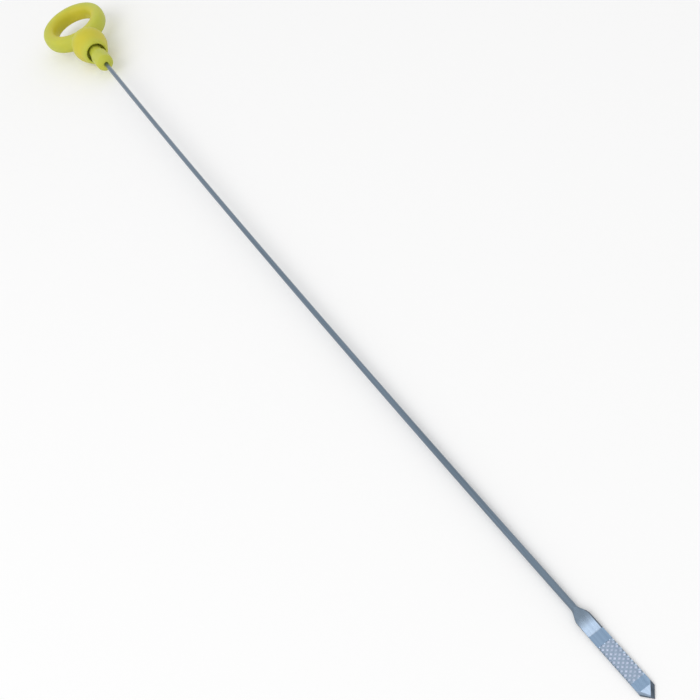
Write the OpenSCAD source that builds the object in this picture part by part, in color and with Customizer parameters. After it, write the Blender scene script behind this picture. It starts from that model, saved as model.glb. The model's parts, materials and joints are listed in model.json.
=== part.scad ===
// Engine oil dipstick: a yellow moulded ring handle on a steel wire whose end is pressed
// flat into a blade. It lies as it comes to rest, on its cap and on the end of its blade.

/* [Ring] */
// Clear width of the finger hole
ring_hole_d = 25; // [20:0.5:34]
// Width of the ring's bar, from the finger hole outwards
bar_w = 8.5; // [7.5:0.5:12]
// Depth of the ring's bar, along the finger hole
bar_h = 10; // [8:0.5:14]
// Rounding of the bar's four edges
bar_edge_r = 3.5; // [1:0.25:3.5]

/* [Cap] */
// Diameter of the ball behind the cap's mouth
cap_d = 22; // [20:0.5:26]
// Length of the cap's cone, from the ball's centre to the lip
cap_len = 12.5; // [10:0.5:18]
// Outer diameter of the lip round the cap's mouth
lip_d = 15.4; // [14.8:0.2:18]
// Rounding of the lip's outer edge
lip_round_r = 1.5; // [0.75:0.25:1.75]
// Width of the lip's flat face
lip_w = 0.2; // [0.1:0.1:0.4]
// Depth of the mouth that takes the end of the dipstick tube
mouth_depth = 6; // [3:0.5:9]
// How far the ball sinks into the ring's bar
ball_sink = 3.5; // [1:0.25:5]
// Radius of the fillets between the ball and the ring
neck_fillet_r = 3; // [2:0.25:6]
// Depth of the fillets, along the finger hole
neck_fillet_h = 7.5; // [4:0.5:8]

/* [Plug] */
// Diameter of the plug's head, which stops the dipstick tube
plug_d = 10.4; // [9:0.1:11]
// Diameter of the plug's root, between the cap and the head
root_d = 8.4; // [6:0.1:8.6]
// Length of the plug, from the lip to its end
plug_len = 16; // [8:0.5:30]
// Length of the root that shows between the lip and the head
root_gap = 3.5; // [1:0.25:5]
// Rounding of the plug's end
plug_round_r = 1.5; // [0.5:0.25:3]

/* [Wire] */
// Diameter of the steel wire
wire_d = 2.5; // [2:0.1:3.2]
// Length of the wire that shows, from the plug's end to the blade's point
wire_len = 480; // [300:5:700]
// Length of the wire inside the moulding
wire_grip = 34; // [20:1:36]
// Width of the pinched anchor at the wire's hidden end
anchor_w = 3.6; // [3.3:0.1:4.4]
// Length of the pinched anchor
anchor_len = 5; // [3:0.5:8]

/* [Blade] */
// Width of the blade
blade_w = 5.8; // [4.4:0.1:7]
// Length of the blade, from the round wire to its point
blade_len = 38; // [34:1:60]
// How far the press sets the blade's middle below the wire's axis
press_drop = 0.3; // [0.25:0.05:0.5]
// Length over which the wire spreads to the blade's width
flare_len = 5; // [3:0.5:8]
// Length over which the wire thins to the blade's thickness
ramp_len = 10.5; // [8.5:0.5:12]
// Length of the V at the blade's end
point_len = 3.3; // [2:0.1:5]
// Length of the thinned end of the blade
taper_len = 5.4; // [5.1:0.1:7]
// Thickness left at the point
point_t = 0.5; // [0.3:0.05:0.7]
// Width of the bevels along the V
bevel_w = 1.1; // [0.5:0.1:1.6]
// Fall of each bevel from the face to the V's edge
bevel_fall = 0.12; // [0.05:0.01:0.14]

/* [Knurl] */
// Length of the knurled dipping mark
knurl_len = 15; // [8:0.5:19]
// Distance from the blade's point to the knurl
knurl_start = 7.6; // [7.2:0.2:8.4]
// Distance between neighbouring grooves
knurl_pitch = 1.1; // [0.9:0.05:1.6]
// Angle of the grooves to the blade's length
knurl_angle = 30; // [25:1:45]
// Width of a groove at the face
groove_w = 0.5; // [0.3:0.05:0.7]
// Depth of a groove
groove_depth = 0.16; // [0.08:0.01:0.22]

/* [Hidden] */

yellow = [0.83, 0.80, 0.26];
steel = [0.55, 0.60, 0.66];
round_fn = 96;
curve_steps = 10;
die_lead = 0.06;
overcut = 1;

ring_r = (ring_hole_d + bar_w) / 2;
ring_outer_r = ring_r + bar_w / 2;
lip_x = -plug_len;
ball_x = lip_x - cap_len;
ring_x = ball_x - (ring_outer_r + cap_d / 2 - ball_sink);
mouth_d = lip_d - 2 * (lip_round_r + lip_w);

// The cone is tangent to the ball and to the lip's rounding.
round_x = cap_len - lip_round_r;
round_r = lip_d / 2 - lip_round_r;
cone_angle = atan2(round_r, round_x) + acos((cap_d / 2 - lip_round_r) / norm([round_x, round_r]));

// A pressed section keeps the area of the round wire, so its width gives its thickness.
wire_area = PI * wire_d * wire_d / 4;
end_loss = 1 - PI / 4;
function pressed_t(w) = (w - sqrt(w * w - 4 * end_loss * wire_area)) / (2 * end_loss);
blade_t = pressed_t(blade_w);
anchor_t = pressed_t(anchor_w);

blade_x = wire_len - blade_len;
taper_x = wire_len - taper_len;
knurl_x = wire_len - knurl_start - knurl_len;

// The part lies with the wire dipping by rest_tilt, on the ball and on the blade's lower face,
// or on the round wire before the blade where that comes lower.
function dip(x, drop) = asin(cap_d / 2 / norm([x - ball_x, drop])) - atan2(drop, x - ball_x);
rest_tilt = min(dip(taper_x, blade_t / 2 + press_drop), dip(blade_x, wire_d / 2));
rest_lift = cap_d / 2 + ball_x * sin(rest_tilt);
low_x = (ring_x - ring_outer_r + bar_edge_r) * cos(rest_tilt)
    - (bar_h / 2 - bar_edge_r) * sin(rest_tilt) - bar_edge_r;
high_x = wire_len * cos(rest_tilt) + (point_t / 2 - press_drop) * sin(rest_tilt);

// Turns a part drawn along the wire's axis into the way it lies.
module lay_down() {
    translate([-(low_x + high_x) / 2, 0, rest_lift])
        rotate([0, rest_tilt, 0])
            children();
}

// A round bar along X.
module bar_x(d, from, to, d_end = undef) {
    translate([from, 0, 0])
        rotate([0, 90, 0])
            cylinder(d1 = d, d2 = is_undef(d_end) ? d : d_end, h = to - from, $fn = round_fn);
}

// A flat bar along X with round edges, as pressed wire has.
module pressed_bar(w, t, from, to) {
    translate([from, 0, 0])
        rotate([90, 0, 90])
            linear_extrude(to - from) {
                square([w - t, t], center = true);
                for (side = [-1, 1])
                    translate([side * (w - t) / 2, 0]) circle(d = t, $fn = round_fn);
            }
}

module bar_section() {
    square([bar_w, bar_h - 2 * bar_edge_r], center = true);
    square([bar_w - 2 * bar_edge_r, bar_h], center = true);
    for (side = [-1, 1], level = [-1, 1])
        translate([side * (bar_w / 2 - bar_edge_r), level * (bar_h / 2 - bar_edge_r)])
            circle(r = bar_edge_r, $fn = round_fn);
}

module finger_ring() {
    translate([ring_x, 0, 0])
        rotate_extrude($fn = round_fn)
            translate([ring_r, 0]) bar_section();
}

// A fillet is the corner between ball and ring less the circle that touches both.
module neck_fillets() {
    to_ring = ring_outer_r + neck_fillet_r;
    to_ball = cap_d / 2 + neck_fillet_r;
    span = ball_x - ring_x;
    along = (to_ring * to_ring - to_ball * to_ball + span * span) / (2 * span);
    across = sqrt(to_ring * to_ring - along * along);
    for (side = [-1, 1])
        translate([ring_x, 0, -neck_fillet_h / 2])
            linear_extrude(neck_fillet_h)
                difference() {
                    polygon([[ring_r, 0], [along, side * across], [span, 0]]);
                    translate([along, side * across]) circle(r = neck_fillet_r, $fn = round_fn);
                }
}

module cap_outside() {
    translate([ball_x, 0, 0]) sphere(d = cap_d, $fn = round_fn);
    bar_x(cap_d * sin(cone_angle), ball_x + cap_d / 2 * cos(cone_angle),
        ball_x + round_x + lip_round_r * cos(cone_angle),
        2 * (round_r + lip_round_r * sin(cone_angle)));
    translate([ball_x, 0, 0])
        rotate([0, 90, 0])
            rotate_extrude($fn = round_fn) {
                square([round_r, cap_len]);
                translate([round_r, round_x]) circle(r = lip_round_r, $fn = round_fn);
            }
}

module plug_profile() {
    head_len = plug_len - root_gap;
    square([root_d / 2, mouth_depth + root_gap + head_len / 2]);
    translate([0, mouth_depth + root_gap]) {
        square([plug_d / 2, head_len - plug_round_r]);
        square([plug_d / 2 - plug_round_r, head_len]);
        translate([plug_d / 2 - plug_round_r, head_len - plug_round_r])
            circle(r = plug_round_r, $fn = round_fn);
    }
}

module plug() {
    translate([lip_x - mouth_depth, 0, 0])
        rotate([0, 90, 0])
            rotate_extrude($fn = round_fn) plug_profile();
}

module wire_anchor() {
    pressed_bar(anchor_w, anchor_t, -wire_grip, -wire_grip + anchor_len);
}

// The wire is spread to the blade's width, as a round blank that flares, and then pressed
// between two faces that close on it: what is left is round at the edges and flat above and
// below. face_z gives each face's height over the blade's middle, which lies at middle_z.
function ease(u) = u * u * (3 - 2 * u);
function flare_r(u) = (wire_d + (blade_w - wire_d) * ease(u)) / 2;
function face_z(u) = blade_t / 2 + (wire_d / 2 + die_lead - blade_t / 2) * (1 - u) * (1 - u);
function middle_z(u) = -press_drop * (1 - (1 - u) * (1 - u));

module spread_wire() {
    rotate([0, 90, 0])
        rotate_extrude($fn = round_fn)
            polygon([
                [0, -wire_grip], [wire_d / 2, -wire_grip],
                for (i = [0 : curve_steps])
                    [flare_r(i / curve_steps), blade_x + flare_len * i / curve_steps],
                [blade_w / 2, wire_len + overcut], [0, wire_len + overcut]
            ]);
}

module press_faces() {
    function die(face) = [
        [-wire_grip - overcut, face * wire_d], [blade_x, face * wire_d],
        for (i = [0 : curve_steps]) let (u = i / curve_steps)
            [blade_x + ramp_len * u, middle_z(u) + face * face_z(u)],
        [taper_x, face * blade_t / 2 - press_drop], [wire_len, face * point_t / 2 - press_drop]
    ];
    bottom = die(-1);
    rotate([90, 0, 0])
        linear_extrude(2 * blade_w, center = true)
            polygon(concat(die(1), [for (i = [len(bottom) - 1 : -1 : 0]) bottom[i]]));
}

module point_outline() {
    v_x = wire_len - point_len;
    translate([0, 0, -wire_d - overcut])
        linear_extrude(2 * (wire_d + overcut))
            polygon([
                [-wire_grip - 2 * overcut, -blade_w], [v_x, -blade_w], [v_x, -blade_w / 2],
                [wire_len, 0],
                [v_x, blade_w / 2], [v_x, blade_w], [-wire_grip - 2 * overcut, blade_w]
            ]);
}

module point_bevel() {
    translate([wire_len, 0, point_t / 2 - bevel_fall])
        rotate([0, 0, 180 - atan2(blade_w / 2, point_len)])
            rotate([atan2(bevel_fall, bevel_w), 0, 0])
                translate([-blade_w, -blade_w, 0])
                    cube([3 * blade_w, blade_w + bevel_w + overcut, blade_t]);
}

// One face's crossed grooves, kept inside the knurled panel.
module knurl_grooves() {
    reach = knurl_len * sin(knurl_angle) + blade_w * cos(knurl_angle);
    steps = ceil(reach / 2 / knurl_pitch);
    intersection() {
        translate([knurl_x, -blade_w, 0]) cube([knurl_len, 2 * blade_w, blade_t]);
        translate([knurl_x + knurl_len / 2, 0, blade_t / 2])
            for (lean = [-1, 1], i = [-steps : steps])
                rotate([0, 0, lean * knurl_angle])
                    translate([0, i * knurl_pitch, 0])
                        groove();
    }
}

module groove() {
    rotate([90, 0, 90])
        linear_extrude(knurl_len + 2 * blade_w, center = true)
            polygon([[-groove_w / 2, 0], [0, -groove_depth], [groove_w / 2, 0],
                [groove_w / 2, groove_depth], [-groove_w / 2, groove_depth]]);
}

module pressed_wire() {
    difference() {
        intersection() {
            spread_wire();
            press_faces();
            point_outline();
        }
        translate([0, 0, -press_drop])
            for (face = [0, 1])
                mirror([0, 0, face]) {
                    knurl_grooves();
                    for (side = [0, 1])
                        mirror([0, side, 0]) point_bevel();
                }
    }
}

module handle() {
    color(yellow)
        lay_down()
            difference() {
                union() {
                    finger_ring();
                    neck_fillets();
                    difference() {
                        cap_outside();
                        bar_x(mouth_d, lip_x - mouth_depth, lip_x + overcut);
                    }
                    plug();
                }
                bar_x(wire_d, -wire_grip, overcut);
                wire_anchor();
            }
}

module rod() {
    color(steel)
        lay_down() {
            pressed_wire();
            wire_anchor();
        }
}

handle();
rod();
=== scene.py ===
import json
import math
import bmesh
import bpy
from mathutils import Matrix, Quaternion, Vector, noise


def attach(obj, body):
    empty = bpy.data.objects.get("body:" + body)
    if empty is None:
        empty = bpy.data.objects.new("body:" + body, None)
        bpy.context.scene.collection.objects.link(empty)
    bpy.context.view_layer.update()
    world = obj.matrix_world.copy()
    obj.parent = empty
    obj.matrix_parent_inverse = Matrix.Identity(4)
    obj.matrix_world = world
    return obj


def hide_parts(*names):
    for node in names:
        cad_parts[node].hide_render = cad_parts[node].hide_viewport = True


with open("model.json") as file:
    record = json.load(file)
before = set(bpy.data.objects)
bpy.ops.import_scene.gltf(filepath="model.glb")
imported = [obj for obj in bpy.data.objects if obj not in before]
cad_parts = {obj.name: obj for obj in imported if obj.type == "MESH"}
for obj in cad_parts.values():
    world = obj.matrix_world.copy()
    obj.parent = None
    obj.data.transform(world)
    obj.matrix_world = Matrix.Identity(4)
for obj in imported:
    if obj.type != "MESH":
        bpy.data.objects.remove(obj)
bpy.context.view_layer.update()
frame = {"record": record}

# The camera looks down on the dipstick from beside its blade, so the blade is near and almost
# square to it, and the ring is far and foreshortened. It is turned about its own axis, as a
# camera held in the hand is.
mm = 0.001
eye = Vector((368.56 * mm, -47.59 * mm, 325.88 * mm))
aim = Vector((91.19 * mm, -0.17 * mm, 0))
camera_turn = math.radians(-28.14)
camera_data = bpy.data.cameras.new("camera")
camera_data.lens = 51.4
camera_data.sensor_width = 36
camera_data.clip_start = 0.01
camera = bpy.data.objects.new("camera", camera_data)
bpy.context.collection.objects.link(camera)
camera.location = eye
camera.rotation_mode = "QUATERNION"
camera.rotation_quaternion = (
    (aim - eye).to_track_quat("-Z", "Y") @ Quaternion((0, 0, 1), camera_turn))
bpy.context.scene.camera = camera

# The handle is one yellow plastic moulding, shot round the wire: a finger ring, a ball that
# runs into a cone with an open mouth, and a plug that stands in the mouth. Its cage is smoothed
# by subdivision, so the ball flows into the ring as it does in a mould.
ring_hole_r = 12.5 * mm
bar_w = 8.5 * mm
bar_h = 10 * mm
bar_squareness = 2.6
cap_r = 11 * mm
cap_len = 12.5 * mm
ball_sink = 3.5 * mm
lip_x = -16 * mm
lip_r = 7.7 * mm
lip_round = 1.5 * mm
mouth_r = 6 * mm
mouth_depth = 6 * mm
ball_x = lip_x - cap_len
ring_x = ball_x - cap_r - ring_hole_r - bar_w + ball_sink
neck_x = ball_x - 8.8 * mm
neck_half = (8.9 * mm, 6.5 * mm)
root_r = 4.2 * mm
root_gap = 4.7 * mm
head_x = lip_x + root_gap
head_r = 5.2 * mm
head_round = 1.5 * mm
nose_len = 1.2 * mm
bore_r = 1.27 * mm
grip_x = -34 * mm
anchor_x = -29 * mm
anchor_half = (1.85 * mm, 0.85 * mm)
edge = 0.12 * mm
ring_steps = 24
bar_steps = 12
neck_steps = 16
neck_reach = 2

# The wire's axis is the line that every piece is drawn along. The plug's mount gives it: the
# mount lies on the axis, in the middle of the plug's straight wall, and points to the blade.
plug_mount = frame["record"]["mounts"][0]
wall_middle = -7 * mm
along = Vector(plug_mount["axis"]).normalized()
across = Vector((0, 1, 0))
plug_end = Vector(plug_mount["pos_m"]) - along * wall_middle
lie = (Matrix.Translation(plug_end)
       @ Matrix((along, across, along.cross(across))).transposed().to_4x4())


def swell(steps, squareness=2):
    """How far a cage of so many steps stands off the round form that it is smoothed to."""
    return 3 / (2 + math.cos(2 * math.pi / steps) ** (2 / squareness))


def bar_point(turn):
    """A point on the section of the ring's bar: outwards from its middle, and up."""
    power = 2 / bar_squareness
    out = math.copysign(abs(math.cos(turn)) ** power, math.cos(turn)) * bar_w / 2
    up = math.copysign(abs(math.sin(turn)) ** power, math.sin(turn)) * bar_h / 2
    return out * swell(bar_steps, bar_squareness), up * swell(bar_steps, bar_squareness)


handle_shape = bmesh.new()
ring_grid = {}
for j in range(ring_steps):
    for k in range(bar_steps):
        out, up = bar_point(2 * math.pi * k / bar_steps)
        radius = (ring_hole_r + bar_w / 2 + out) * swell(ring_steps)
        turn = 2 * math.pi * j / ring_steps
        ring_grid[j, k] = handle_shape.verts.new(
            (ring_x + radius * math.cos(turn), radius * math.sin(turn), up))


def ring_vert(j, k):
    return ring_grid[j % ring_steps, k % bar_steps]


for j in range(-neck_reach, ring_steps - neck_reach):
    for k in range(-neck_reach, bar_steps - neck_reach):
        if j < neck_reach and k < neck_reach:
            continue
        handle_shape.faces.new(
            (ring_vert(j, k), ring_vert(j + 1, k), ring_vert(j + 1, k + 1), ring_vert(j, k + 1)))

neck_edge = [ring_vert(neck_reach, k) for k in range(0, neck_reach + 1)]
neck_edge += [ring_vert(j, neck_reach) for j in range(neck_reach - 1, -neck_reach - 1, -1)]
neck_edge += [ring_vert(-neck_reach, k) for k in range(neck_reach - 1, -neck_reach - 1, -1)]
neck_edge += [ring_vert(j, -neck_reach) for j in range(1 - neck_reach, neck_reach + 1)]
neck_edge += [ring_vert(neck_reach, k) for k in range(1 - neck_reach, 0)]

# The profile runs from the neck over the ball and the cone, round the lip into the mouth, out
# along the plug's root and head, round its domed nose, and back into the bore that the wire fills.
ball_turns = (122, 108, 94, 83)
cone_shares = (0, 0.3, 0.65, 1)
lip_turns = (48, 24, 0)
head_turns = (90, 67.5, 45, 22.5)
round_x, round_r = lip_x - lip_round, lip_r - lip_round
cone_run = math.hypot(round_x - ball_x, round_r)
cone_turn = math.atan2(round_r, round_x - ball_x) + math.acos((cap_r - lip_round) / cone_run)


def on_arc(x, r, radius, turn):
    return x + radius * math.cos(turn), r + radius * math.sin(turn)


cone_back = on_arc(ball_x, 0, cap_r, cone_turn)
cone_front = on_arc(round_x, round_r, lip_round, cone_turn)

profile = [(neck_x, *neck_half)]
profile += [on_arc(ball_x, 0, cap_r, math.radians(turn)) for turn in ball_turns]
for share in cone_shares:
    profile.append([back + (front - back) * share for back, front in zip(cone_back, cone_front)])
profile += [on_arc(round_x, round_r, lip_round, math.radians(turn)) for turn in lip_turns]
profile += [(lip_x, mouth_r + edge), (lip_x - edge, mouth_r), (lip_x - 4 * edge, mouth_r)]
mouth_x = lip_x - mouth_depth
profile += [(mouth_x + 4 * edge, mouth_r), (mouth_x, mouth_r - edge)]
profile += [(mouth_x, root_r + 4 * edge), (mouth_x + edge, root_r), (mouth_x + 4 * edge, root_r)]
profile += [(head_x - 4 * edge, root_r), (head_x, root_r + edge)]
profile += [(head_x, head_r - 2 * edge), (head_x + 2 * edge, head_r), (head_x + 6 * edge, head_r)]
profile += [(wall_middle, head_r)]
profile += [on_arc(-head_round, head_r - head_round, head_round, math.radians(turn))
            for turn in head_turns]
profile += [(nose_len * 0.3, head_r - head_round), (nose_len * 0.8, 2 * bore_r)]
profile += [(nose_len, bore_r + 2 * edge), (nose_len - edge, bore_r), (-4 * edge, bore_r)]
profile += [(lip_x, bore_r), (anchor_x + 2 * edge, bore_r), (anchor_x, *anchor_half)]
profile += [(grip_x + edge, *anchor_half), (grip_x, bore_r / 2)]

loop = neck_edge
for x, *radii in profile:
    next_loop = []
    for step in range(neck_steps):
        turn = 2 * math.pi * step / neck_steps
        next_loop.append(handle_shape.verts.new((
            x,
            radii[0] * math.cos(turn) * swell(neck_steps),
            radii[-1] * math.sin(turn) * swell(neck_steps))))
    for step in range(neck_steps):
        ahead = (step + 1) % neck_steps
        handle_shape.faces.new((loop[step], loop[ahead], next_loop[ahead], next_loop[step]))
    loop = next_loop
handle_shape.faces.new(loop)
bmesh.ops.recalc_face_normals(handle_shape, faces=handle_shape.faces)


def bake(name, mesh, modifier_type, **settings):
    """Runs one modifier on a mesh and returns the plain mesh that comes out."""
    holder = bpy.data.objects.new(name, mesh)
    bpy.context.collection.objects.link(holder)
    modifier = holder.modifiers.new(name, modifier_type)
    for key, value in settings.items():
        if key.startswith("Socket_"):
            modifier[key] = value
        else:
            setattr(modifier, key, value)
    bpy.context.view_layer.update()
    baked = bpy.data.meshes.new_from_object(
        holder.evaluated_get(bpy.context.evaluated_depsgraph_get()))
    holder.modifiers.clear()
    bpy.data.objects.remove(holder)
    return baked


def lay_piece(name, mesh, cad_node):
    """Lays a mesh drawn along the wire where its CAD node is, as a piece of the model."""
    mesh.transform(lie)
    mesh.name = name
    piece = bpy.data.objects.new(name, mesh)
    bpy.context.collection.objects.link(piece)
    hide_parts(cad_node)
    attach(piece, "root")
    return piece


handle_cage = bpy.data.meshes.new("handle_cage")
handle_shape.to_mesh(handle_cage)
handle_shape.free()
handle_mesh = bake("smoothing", handle_cage, "SUBSURF", levels=3, render_levels=3)
handle_mesh.shade_smooth()


def ease(u):
    u = min(1, max(0, u))
    return u * u * (3 - 2 * u)


# Painted light: the inside of the ring and the ball's widest part get a warmer, brighter yellow,
# which stands in for the light that falls on them.
ring_light_reach = 0.75 * bar_w
ball_light_x = ball_x + 5 * mm
ball_light_reach = 0.8 * cap_r
mouth_side_r = 0.4 * cap_r
painted_light = handle_mesh.attributes.new("painted_light", "FLOAT", "POINT")
for vertex, mark in zip(handle_mesh.vertices, painted_light.data):
    from_hole = math.hypot(vertex.co.x - ring_x, vertex.co.y) - ring_hole_r
    on_ring = 1 - ease(from_hole / ring_light_reach)
    from_axis = math.hypot(vertex.co.y, vertex.co.z)
    on_ball = 1 - ease(abs(vertex.co.x - ball_light_x) / ball_light_reach - 0.15)
    mark.value = max(on_ring, on_ball * ease(from_axis / mouth_side_r - 1.2))

# Fine grain and broad unevenness, which moulded plastic and drawn steel both have. The group
# takes coordinates, so each material can stretch it along its own grain.
grain = bpy.data.node_groups.new("surface_grain", "ShaderNodeTree")
grain.interface.new_socket("Vector", in_out="INPUT", socket_type="NodeSocketVector")
for name in ("Fine", "Broad"):
    grain.interface.new_socket(name + " Scale", in_out="INPUT", socket_type="NodeSocketFloat")
    grain.interface.new_socket(name, in_out="OUTPUT", socket_type="NodeSocketFloat")
grain_in = grain.nodes.new("NodeGroupInput")
grain_out = grain.nodes.new("NodeGroupOutput")
for name in ("Fine", "Broad"):
    cloud = grain.nodes.new("ShaderNodeTexNoise")
    cloud.inputs["Detail"].default_value = 2
    grain.links.new(grain_in.outputs["Vector"], cloud.inputs["Vector"])
    grain.links.new(grain_in.outputs[name + " Scale"], cloud.inputs["Scale"])
    grain.links.new(cloud.outputs["Fac"], grain_out.inputs[name])


def along_wire(tree, stretch):
    """Coordinates that run along the wire, drawn out along it by stretch."""
    place = tree.nodes.new("ShaderNodeTexCoord")
    mapping = tree.nodes.new("ShaderNodeMapping")
    mapping.vector_type = "TEXTURE"
    mapping.inputs["Location"].default_value = plug_end
    mapping.inputs["Rotation"].default_value = lie.to_euler()
    mapping.inputs["Scale"].default_value = (stretch, 1, 1)
    tree.links.new(place.outputs["Object"], mapping.inputs["Vector"])
    return mapping.outputs["Vector"]


def add_grain(tree, vector, fine, broad):
    """Places the grain group in a material, fed by vector."""
    group = tree.nodes.new("ShaderNodeGroup")
    group.node_tree = grain
    group.inputs["Fine Scale"].default_value = fine
    group.inputs["Broad Scale"].default_value = broad
    tree.links.new(vector, group.inputs["Vector"])
    return group


def ramp_between(tree, driver, low, high, start=0.3, end=0.7):
    """Turns a value into a range of values or colours."""
    ramp = tree.nodes.new("ShaderNodeValToRGB")
    ramp.color_ramp.elements[0].position = start
    ramp.color_ramp.elements[1].position = end
    ramp.color_ramp.elements[0].color = (*low, 1)
    ramp.color_ramp.elements[1].color = (*high, 1)
    tree.links.new(driver, ramp.inputs["Fac"])
    return ramp.outputs["Color"]


def attribute(tree, name):
    """The share that a piece's own mesh gives at each point, from 0 to 1."""
    reader = tree.nodes.new("ShaderNodeAttribute")
    reader.attribute_name = name
    return reader.outputs["Fac"]


def mix_by(tree, share, first, second):
    """Goes from the first colour or value to the second as share goes from 0 to 1."""
    mix = tree.nodes.new("ShaderNodeMixRGB")
    for socket, value in zip(mix.inputs, (share, first, second)):
        tree.links.new(value, socket)
    return mix.outputs["Color"]


def bump_from(tree, driver, shader, strength, distance):
    """Lets a value raise the surface a little."""
    bump = tree.nodes.new("ShaderNodeBump")
    bump.inputs["Strength"].default_value = strength
    bump.inputs["Distance"].default_value = distance
    tree.links.new(driver, bump.inputs["Height"])
    tree.links.new(bump.outputs["Normal"], shader.inputs["Normal"])


# The second yellow is painted light: a warmer, brighter tone laid on the ring's inside and the
# ball.
plain_yellow = ((0.50, 0.54, 0.060), (0.57, 0.565, 0.060))
lit_yellow = ((0.575, 0.53, 0.035), (0.635, 0.56, 0.040))
moulded_roughness = ([0.40] * 3, [0.52] * 3)
plastic = bpy.data.materials.new("yellow_plastic")
plastic.use_nodes = True
plastic_tree = plastic.node_tree
plastic_shader = plastic_tree.nodes["Principled BSDF"]
plastic_shader.inputs["Specular IOR Level"].default_value = 0.35
plastic_shader.inputs["Subsurface Weight"].default_value = 0.2
plastic_shader.inputs["Subsurface Radius"].default_value = (1, 0.9, 0.15)
plastic_shader.inputs["Subsurface Scale"].default_value = 1.2 * mm
plastic_grain = add_grain(plastic_tree, along_wire(plastic_tree, 1), 3500, 90)
plain_tone, lit_tone, roughness = (
    ramp_between(plastic_tree, plastic_grain.outputs["Broad"], *ends)
    for ends in (plain_yellow, lit_yellow, moulded_roughness))
plastic_tree.links.new(
    mix_by(plastic_tree, attribute(plastic_tree, "painted_light"), plain_tone, lit_tone),
    plastic_shader.inputs["Base Color"])
plastic_tree.links.new(roughness, plastic_shader.inputs["Roughness"])
bump_from(plastic_tree, plastic_grain.outputs["Fine"], plastic_shader, 0.25, 0.03 * mm)
handle_mesh.materials.append(plastic)
handle = lay_piece("handle_moulding", handle_mesh, "handle")

# The rod is one steel wire, held in the moulding by a pinched end. It is drawn round, spread
# and pressed flat at its other end, cut to a V with bevelled edges, and knurled on both faces
# where the oil is read.
wire_r = 1.25 * mm
wire_len = 480 * mm
blade_half_w = 2.9 * mm
blade_half_t = 0.4373 * mm
press_drop = 0.3 * mm
blade_x = wire_len - 38 * mm
flare_len = 5 * mm
ramp_len = 11 * mm
ramp_straightness = 0.7
taper_x = wire_len - 4.2 * mm
point_len = 3.3 * mm
point_half_t = 0.25 * mm
bevel_w = 0.5 * mm
bevel_fall = 0.12 * mm
# The dark bands along the V's edges: the narrow one is the darker cut steel, and the wide one is
# painted shade.
dark_edge_w = {-1: 0.35 * mm, 1: 1.2 * mm}
knurl_len = 15 * mm
knurl_x = wire_len - 7.6 * mm - knurl_len
groove_pitch = 1.34 * mm
groove_angle = math.radians(50)
groove_w = 0.6 * mm
groove_depth = 0.16 * mm
die_lead = 0.06 * mm
corner_round = 0.1 * mm
wire_sides = 128
bow = 2.2 * mm
tip_swing = 0.5 * mm


def soft_low(a, b):
    """The lower of two heights, with the corner between them rounded."""
    reach = max(corner_round - abs(a - b), 0) / corner_round
    return min(a, b) - reach * reach * corner_round / 4


def wire_half_width(x):
    if x < anchor_x:
        return anchor_half[0] - (bore_r - wire_r)
    return wire_r + (blade_half_w - wire_r) * ease((x - blade_x) / flare_len)


def wire_faces(x):
    """The height of the section's middle at x, and of its faces above that."""
    if x < anchor_x:
        return 0, anchor_half[1] - (bore_r - wire_r)
    if x < blade_x:
        return 0, 2 * wire_r
    u = min(1, (x - blade_x) / ramp_len)
    lead = ramp_straightness * (1 - u) + (1 - ramp_straightness) * (1 - u) ** 2
    sunk = groove_depth if knurl_x <= x <= knurl_x + knurl_len else 0
    return press_drop * (lead - 1), blade_half_t + (wire_r + die_lead - blade_half_t) * lead - sunk


stations = [grip_x, anchor_x - edge, anchor_x + edge, -20 * mm]
stations += [blade_x * share / 40 for share in range(0, 40)]
stations += [blade_x + ramp_len * share / 28 for share in range(0, 29)]
stations += [blade_x + ramp_len + edge / 8]
stations += [knurl_x - edge / 8, knurl_x, knurl_x + knurl_len, knurl_x + knurl_len + edge / 8]
stations += [wire_len + 2 * mm]

rod_shape = bmesh.new()
loop = None
for x in stations:
    half_width = wire_half_width(x)
    middle, face = wire_faces(x)
    next_loop = []
    for step in range(wire_sides):
        turn = 2 * math.pi * step / wire_sides
        z = half_width * math.sin(turn)
        z = soft_low(z, middle + face)
        z = -soft_low(-z, face - middle)
        next_loop.append(rod_shape.verts.new((x, half_width * math.cos(turn), z)))
    if loop is None:
        rod_shape.faces.new(next_loop)
    else:
        for step in range(wire_sides):
            ahead = (step + 1) % wire_sides
            rod_shape.faces.new((loop[step], loop[ahead], next_loop[ahead], next_loop[step]))
    loop = next_loop
rod_shape.faces.new(loop)


def trim(shape, point, normal):
    """Cuts off what lies past a plane, closes the cut, and keeps its edges crisp."""
    parts = shape.verts[:] + shape.edges[:] + shape.faces[:]
    cut = bmesh.ops.bisect_plane(
        shape, geom=parts, dist=1e-8, plane_co=point, plane_no=normal, clear_outer=True)
    rim = [part for part in cut["geom_cut"] if isinstance(part, bmesh.types.BMEdge)]
    bmesh.ops.holes_fill(shape, edges=rim, sides=0)
    for cut_edge in rim:
        if cut_edge.is_valid:
            cut_edge.smooth = False


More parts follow.
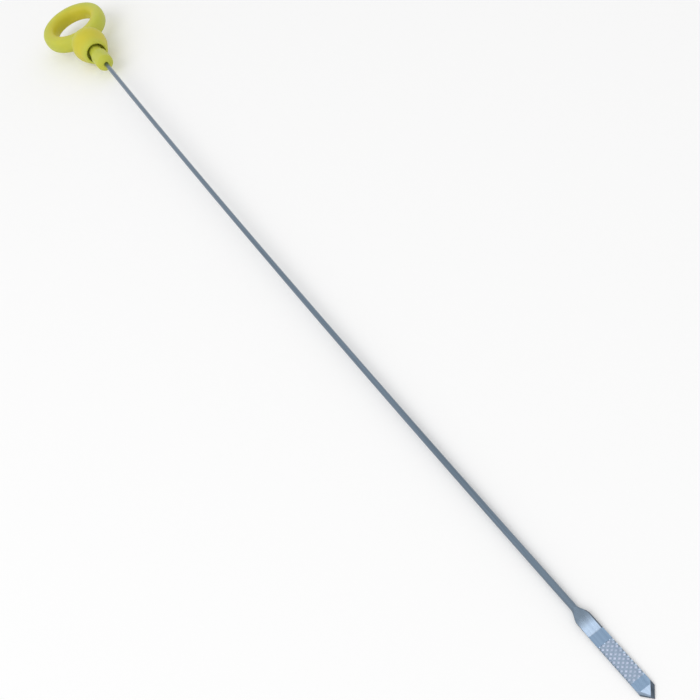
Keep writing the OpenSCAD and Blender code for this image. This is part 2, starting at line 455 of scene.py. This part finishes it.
v_turn = math.atan2(blade_half_w, point_len)
for side in (-1, 1):
    edge_out = Vector((math.sin(v_turn), side * math.cos(v_turn), 0))
    trim(rod_shape, Vector((wire_len, 0, 0)), edge_out)
for face in (-1, 1):
    fall = math.atan2(blade_half_t - point_half_t, wire_len - taper_x)
    taper_start = Vector((taper_x, 0, face * blade_half_t - press_drop))
    trim(rod_shape, taper_start, Vector((math.sin(fall), 0, face * math.cos(fall))))
    for side in (-1, 1):
        edge_out = Vector((math.sin(v_turn), side * math.cos(v_turn), 0))
        lean = math.atan2(bevel_fall, bevel_w)
        bevel_out = edge_out * math.sin(lean) + Vector((0, 0, face * math.cos(lean)))
        bevel_foot = Vector((wire_len, 0, face * (point_half_t - bevel_fall) - press_drop))
        trim(rod_shape, bevel_foot, bevel_out)
dark_edge_planes = []
for side in (-1, 1):
    edge_out = Vector((math.sin(v_turn), side * math.cos(v_turn), 0))
    dark_edge_planes.append((Vector((wire_len, 0, 0)) - edge_out * dark_edge_w[side], edge_out))
    parts = rod_shape.verts[:] + rod_shape.edges[:] + rod_shape.faces[:]
    bmesh.ops.bisect_plane(rod_shape, geom=parts, dist=1e-8,
                           plane_co=dark_edge_planes[-1][0], plane_no=edge_out)
bmesh.ops.recalc_face_normals(rod_shape, faces=rod_shape.faces)

steel = bpy.data.materials.new("drawn_steel")
steel.use_nodes = True
steel_tree = steel.node_tree
steel_shader = steel_tree.nodes["Principled BSDF"]
steel_shader.inputs["Metallic"].default_value = 1
steel_shader.inputs["Coat Weight"].default_value = 0.5
steel_shader.inputs["Coat Roughness"].default_value = 0.1
steel_grain = add_grain(steel_tree, along_wire(steel_tree, 60), 9000, 900)
steel_skins = {
    "drawn": ((0.115, 0.160, 0.210), (0.155, 0.210, 0.275), 0.26, 0.36),
    "pressed": ((0.258, 0.336, 0.450), (0.314, 0.400, 0.515), 0.12, 0.18),
    "polished": ((0.205, 0.308, 0.445), (0.255, 0.368, 0.520), 0.10, 0.15),
    # The diamonds' bright tops are painted glints.
    "painted_glint": ((0.43, 0.49, 0.63), (0.53, 0.59, 0.75), 0.20, 0.28),
    # The dark skin is partly the cut steel and partly painted shade.
    "cut_and_shade": ((0.050, 0.070, 0.095), (0.080, 0.105, 0.140), 0.40, 0.50),
}
skin_colour, skin_roughness = None, None
for skin, (dark, light, smooth, rough) in steel_skins.items():
    colour = ramp_between(steel_tree, steel_grain.outputs["Broad"], dark, light)
    roughness = ramp_between(steel_tree, steel_grain.outputs["Fine"], [smooth] * 3, [rough] * 3)
    if skin_colour:
        colour = mix_by(steel_tree, attribute(steel_tree, skin), skin_colour, colour)
        roughness = mix_by(steel_tree, attribute(steel_tree, skin), skin_roughness, roughness)
    skin_colour, skin_roughness = colour, roughness
steel_tree.links.new(skin_colour, steel_shader.inputs["Base Color"])
steel_tree.links.new(skin_roughness, steel_shader.inputs["Roughness"])
bump_from(steel_tree, steel_grain.outputs["Fine"], steel_shader, 0.15, 0.008 * mm)

# The knurl is what two crossed sets of V grooves leave standing: rows of small diamonds with
# sloped sides. The tree sets them out on two interleaved grids over the panel.
knurl = bpy.data.node_groups.new("knurl_diamonds", "GeometryNodeTree")
knurl.interface.new_socket("Geometry", in_out="OUTPUT", socket_type="NodeSocketGeometry")
knurl_sizes = {
    "Diamond Length": groove_pitch / math.sin(groove_angle),
    "Diamond Width": groove_pitch / math.cos(groove_angle),
    "Top Share": 1 - groove_w / groove_pitch,
    "Height": groove_depth,
    "Columns": 2 * math.ceil(knurl_len * math.sin(groove_angle) / groove_pitch / 2) + 1,
    "Rows": 2 * math.ceil(blade_half_w * math.cos(groove_angle) / groove_pitch) + 1,
    "Material": steel,
}
knurl_sockets = {}
for name, value in knurl_sizes.items():
    kind = {float: "NodeSocketFloat", int: "NodeSocketInt"}.get(type(value), "NodeSocketMaterial")
    socket = knurl.interface.new_socket(name, in_out="INPUT", socket_type=kind)
    knurl_sockets[socket.identifier] = value
knurl_in = knurl.nodes.new("NodeGroupInput")
knurl_out = knurl.nodes.new("NodeGroupOutput")


def knurl_math(operation, first, second):
    """A sum or product of two values in the knurl's tree."""
    node = knurl.nodes.new("ShaderNodeMath")
    node.operation = operation
    for socket, value in zip(node.inputs, (first, second)):
        if isinstance(value, bpy.types.NodeSocket):
            knurl.links.new(value, socket)
        else:
            socket.default_value = value
    return node.outputs["Value"]


def knurl_vector(x, y, z):
    node = knurl.nodes.new("ShaderNodeCombineXYZ")
    for socket, value in zip(node.inputs, (x, y, z)):
        if isinstance(value, bpy.types.NodeSocket):
            knurl.links.new(value, socket)
        else:
            socket.default_value = value
    return node.outputs["Vector"]


diamond = knurl.nodes.new("GeometryNodeMeshCone")
diamond.inputs["Vertices"].default_value = 4
diamond.inputs["Radius Bottom"].default_value = 0.5
knurl.links.new(
    knurl_math("MULTIPLY", knurl_in.outputs["Top Share"], 0.5), diamond.inputs["Radius Top"])
knurl.links.new(knurl_in.outputs["Height"], diamond.inputs["Depth"])
diamond_size = knurl.nodes.new("GeometryNodeTransform")
knurl.links.new(diamond.outputs["Mesh"], diamond_size.inputs["Geometry"])
knurl.links.new(
    knurl_vector(knurl_in.outputs["Diamond Length"], knurl_in.outputs["Diamond Width"], 1),
    diamond_size.inputs["Scale"])
join_rows = knurl.nodes.new("GeometryNodeJoinGeometry")
for half_x, half_y in ((0, 0.5), (0.5, 0)):
    rows = knurl.nodes.new("GeometryNodeMeshGrid")
    for axis, pitch, count in (("X", "Diamond Length", "Columns"), ("Y", "Diamond Width", "Rows")):
        gaps = knurl_math("SUBTRACT", knurl_in.outputs[count], 1)
        knurl.links.new(
            knurl_math("MULTIPLY", gaps, knurl_in.outputs[pitch]), rows.inputs["Size " + axis])
        knurl.links.new(knurl_in.outputs[count], rows.inputs["Vertices " + axis])
    shift = knurl.nodes.new("GeometryNodeTransform")
    knurl.links.new(rows.outputs["Mesh"], shift.inputs["Geometry"])
    knurl.links.new(
        knurl_vector(knurl_math("MULTIPLY", knurl_in.outputs["Diamond Length"], half_x),
                     knurl_math("MULTIPLY", knurl_in.outputs["Diamond Width"], half_y), 0),
        shift.inputs["Translation"])
    knurl.links.new(shift.outputs["Geometry"], join_rows.inputs["Geometry"])
plant = knurl.nodes.new("GeometryNodeInstanceOnPoints")
knurl.links.new(join_rows.outputs["Geometry"], plant.inputs["Points"])
knurl.links.new(diamond_size.outputs["Geometry"], plant.inputs["Instance"])
realize = knurl.nodes.new("GeometryNodeRealizeInstances")
knurl.links.new(plant.outputs["Instances"], realize.inputs["Geometry"])
set_steel = knurl.nodes.new("GeometryNodeSetMaterial")
knurl.links.new(realize.outputs["Geometry"], set_steel.inputs["Geometry"])
knurl.links.new(knurl_in.outputs["Material"], set_steel.inputs["Material"])
knurl.links.new(set_steel.outputs["Geometry"], knurl_out.inputs["Geometry"])

diamonds = bake("knurling", bpy.data.meshes.new("knurl_base"), "NODES",
                node_group=knurl, **knurl_sockets)

# Each face gets its own copy of the diamonds, cut off square at the panel's ends and just short
# of the blade's rounded edges.
panel_margin = 0.01 * mm
for face in (-1, 1):
    panel = bmesh.new()
    panel.from_mesh(diamonds)
    face_z = face * blade_half_t - press_drop
    panel_half_w = math.sqrt(blade_half_w ** 2 - face_z ** 2) - panel_margin
    for side in (-1, 1):
        trim(panel, Vector((side * knurl_len / 2, 0, 0)), Vector((side, 0, 0)))
        trim(panel, Vector((0, side * panel_half_w, 0)), Vector((0, side, 0)))
    panel.transform(Matrix.Translation((knurl_x + knurl_len / 2, 0, face_z - face * groove_depth))
                    @ Matrix.Diagonal((1, 1, face, 1)))
    bmesh.ops.recalc_face_normals(panel, faces=panel.faces)
    panel_mesh = bpy.data.meshes.new("knurl_panel")
    panel.to_mesh(panel_mesh)
    panel.free()
    rod_shape.from_mesh(panel_mesh)

crease = math.radians(50)
for rod_edge in rod_shape.edges:
    if len(rod_edge.link_faces) == 2 and rod_edge.calc_face_angle(0) > crease:
        rod_edge.smooth = False
for rod_face in rod_shape.faces:
    rod_face.smooth = True
    rod_face.material_index = 0
rod_mesh = bpy.data.meshes.new("dipstick_rod")
rod_shape.to_mesh(rod_mesh)
rod_shape.free()
rod_mesh.materials.append(steel)

# The dies leave the pressed faces brighter than the drawn skin, and the flats bluest and most
# polished. The diamonds' tops are painted bright, some more than others: painted glints. The V's
# edges are dark, partly from the darker steel of the cut and partly from painted shade, which
# makes one side's band wide. A line along one side of the ramp is painted shade. The wire has
# taken a slight set in use.
skin_start = 0.3375
skin_rise = 0.45
shoulder_skin_w = 0.75 * mm
flat_skin_w = 0.1 * mm
dark_side_start = 0.3
dark_side_w = 0.5 * mm
level = 0.995
glint_base = 0.75
glint_spread = 0.5
pressed = rod_mesh.attributes.new("pressed", "FLOAT", "POINT")
for vertex, mark in zip(rod_mesh.vertices, pressed.data):
    x, y, z = vertex.co
    half_width = wire_half_width(x)
    round_z = math.sqrt(max(0, half_width ** 2 - y ** 2))
    ran = ease(((x - blade_x) / ramp_len - skin_start) / skin_rise)
    skin_w = shoulder_skin_w + (flat_skin_w - shoulder_skin_w) * ran
    mark.value = (ran * ease((half_width - abs(y)) / skin_w)
                  * ease((round_z - abs(z)) / corner_round)) if x > blade_x else 0
polished, painted_glint, cut_and_shade = (rod_mesh.attributes.new(name, "FLOAT", "FACE")
                           for name in ("polished", "painted_glint", "cut_and_shade"))
for polygon in rod_mesh.polygons:
    x, y, z = polygon.center
    flat = abs(polygon.normal.z) > level and blade_x + ramp_len < x < taper_x
    on_top = flat and abs(z + press_drop) > blade_half_t - groove_depth / 4
    knurled = 0 < x - knurl_x < knurl_len
    polished.data[polygon.index].value = on_top and not knurled
    # Painted glints: each diamond's top is made brighter, by a share that varies from one to the
    # next.
    glint_share = glint_base + glint_spread * noise.noise(polygon.center / groove_pitch)
    painted_glint.data[polygon.index].value = glint_share if on_top and knurled else 0
    # Painted shade: a dark line along one side of the ramp, and the dark bands on the V's edges.
    ramp_side_shade = (dark_side_start < (x - blade_x) / ramp_len < 1
                   and wire_half_width(x) - y < dark_side_w)
    cut_and_shade.data[polygon.index].value = ramp_side_shade or any(
        (polygon.center - foot).dot(out) > 0 for foot, out in dark_edge_planes)
for vertex in rod_mesh.vertices:
    share = max(0, vertex.co.x / wire_len)
    vertex.co.y += tip_swing * share - 4 * bow * share * (1 - share)
rod = lay_piece("dipstick_rod", rod_mesh, "rod")

# The floor is a plain pale sheet, which the camera sees as white where no shadow falls. The
# lamps reach less of it further out, so the camera's lift grows there.
floor_reach = 8
lamplit_reach = 0.8
unlit_reach = 4
near_lift = 0.07
far_lift = 0.35
floor_mesh = bpy.data.meshes.new("floor")
corners = ((-1, -1), (1, -1), (1, 1), (-1, 1))
floor_mesh.from_pydata(
    [(x * floor_reach, y * floor_reach, 0) for x, y in corners], [], [(0, 1, 2, 3)])
floor = bpy.data.objects.new("floor", floor_mesh)
bpy.context.collection.objects.link(floor)
paper = bpy.data.materials.new("pale_paper")
paper.use_nodes = True
paper_shader = paper.node_tree.nodes["Principled BSDF"]
paper_shader.inputs["Base Color"].default_value = (0.93, 0.93, 0.93, 1)
paper_shader.inputs["Roughness"].default_value = 0.9
paper_shader.inputs["Specular IOR Level"].default_value = 0.1
paper_shader.inputs["Emission Color"].default_value = (1, 1, 1, 1)
paper_tree = paper.node_tree
paper_light_path = paper_tree.nodes.new("ShaderNodeLightPath")
paper_place = paper_tree.nodes.new("ShaderNodeTexCoord")
paper_distance = paper_tree.nodes.new("ShaderNodeVectorMath")
paper_distance.operation = "LENGTH"
paper_lift = paper_tree.nodes.new("ShaderNodeMapRange")
paper_lift.inputs["From Min"].default_value = lamplit_reach
paper_lift.inputs["From Max"].default_value = unlit_reach
paper_lift.inputs["To Min"].default_value = near_lift
paper_lift.inputs["To Max"].default_value = far_lift
paper_seen = paper_tree.nodes.new("ShaderNodeMath")
paper_seen.operation = "MULTIPLY"
paper_tree.links.new(paper_place.outputs["Object"], paper_distance.inputs[0])
paper_tree.links.new(paper_distance.outputs["Value"], paper_lift.inputs["Value"])
paper_tree.links.new(paper_lift.outputs["Result"], paper_seen.inputs[0])
paper_tree.links.new(paper_light_path.outputs["Is Camera Ray"], paper_seen.inputs[1])
paper_tree.links.new(paper_seen.outputs["Value"], paper_shader.inputs["Emission Strength"])
floor_mesh.materials.append(paper)


def soft_box(name, place, toward, width, height, power):
    """A rectangular area lamp that faces a point."""
    lamp = bpy.data.lights.new(name, "AREA")
    lamp.shape = "RECTANGLE"
    lamp.size = width
    lamp.size_y = height
    lamp.energy = power
    holder = bpy.data.objects.new(name, lamp)
    holder.location = place
    holder.rotation_mode = "QUATERNION"
    holder.rotation_quaternion = (Vector(toward) - Vector(place)).to_track_quat("-Z", "Y")
    bpy.context.collection.objects.link(holder)


# A broad soft box stands at the photographer's left, and a narrow dim one overhead, which the
# blade's ramp and point mirror and its flats don't. The world is plain grey light, and white
# where the camera or a mirroring surface sees it.
soft_box("left_of_camera", place=(0.7, -1.4, 1.7), toward=(0, 0, 0),
         width=2.0, height=1.6, power=17)
soft_box("overhead", place=(0.085, 0.18, 1.27), toward=(0.085, 0.18, 0),
         width=0.11, height=0.40, power=0.15)

world_light = 0.75
world_seen = 1
world = bpy.data.worlds.new("world")
bpy.context.scene.world = world
world.use_nodes = True
world_tree = world.node_tree
backdrop = world_tree.nodes["Background"]
backdrop.inputs["Color"].default_value = (1, 1, 1, 1)
light_path = world_tree.nodes.new("ShaderNodeLightPath")
mirrored = world_tree.nodes.new("ShaderNodeMath")
mirrored.operation = "MAXIMUM"
seen = world_tree.nodes.new("ShaderNodeMath")
seen.operation = "MAXIMUM"
strength = world_tree.nodes.new("ShaderNodeMapRange")
strength.inputs["To Min"].default_value = world_light
strength.inputs["To Max"].default_value = world_seen
world_tree.links.new(light_path.outputs["Is Glossy Ray"], mirrored.inputs[0])
world_tree.links.new(light_path.outputs["Is Transmission Ray"], mirrored.inputs[1])
world_tree.links.new(light_path.outputs["Is Camera Ray"], seen.inputs[0])
world_tree.links.new(mirrored.outputs["Value"], seen.inputs[1])
world_tree.links.new(seen.outputs["Value"], strength.inputs["Value"])
world_tree.links.new(strength.outputs["Result"], backdrop.inputs["Strength"])

bpy.context.scene.view_settings.view_transform = "Standard"
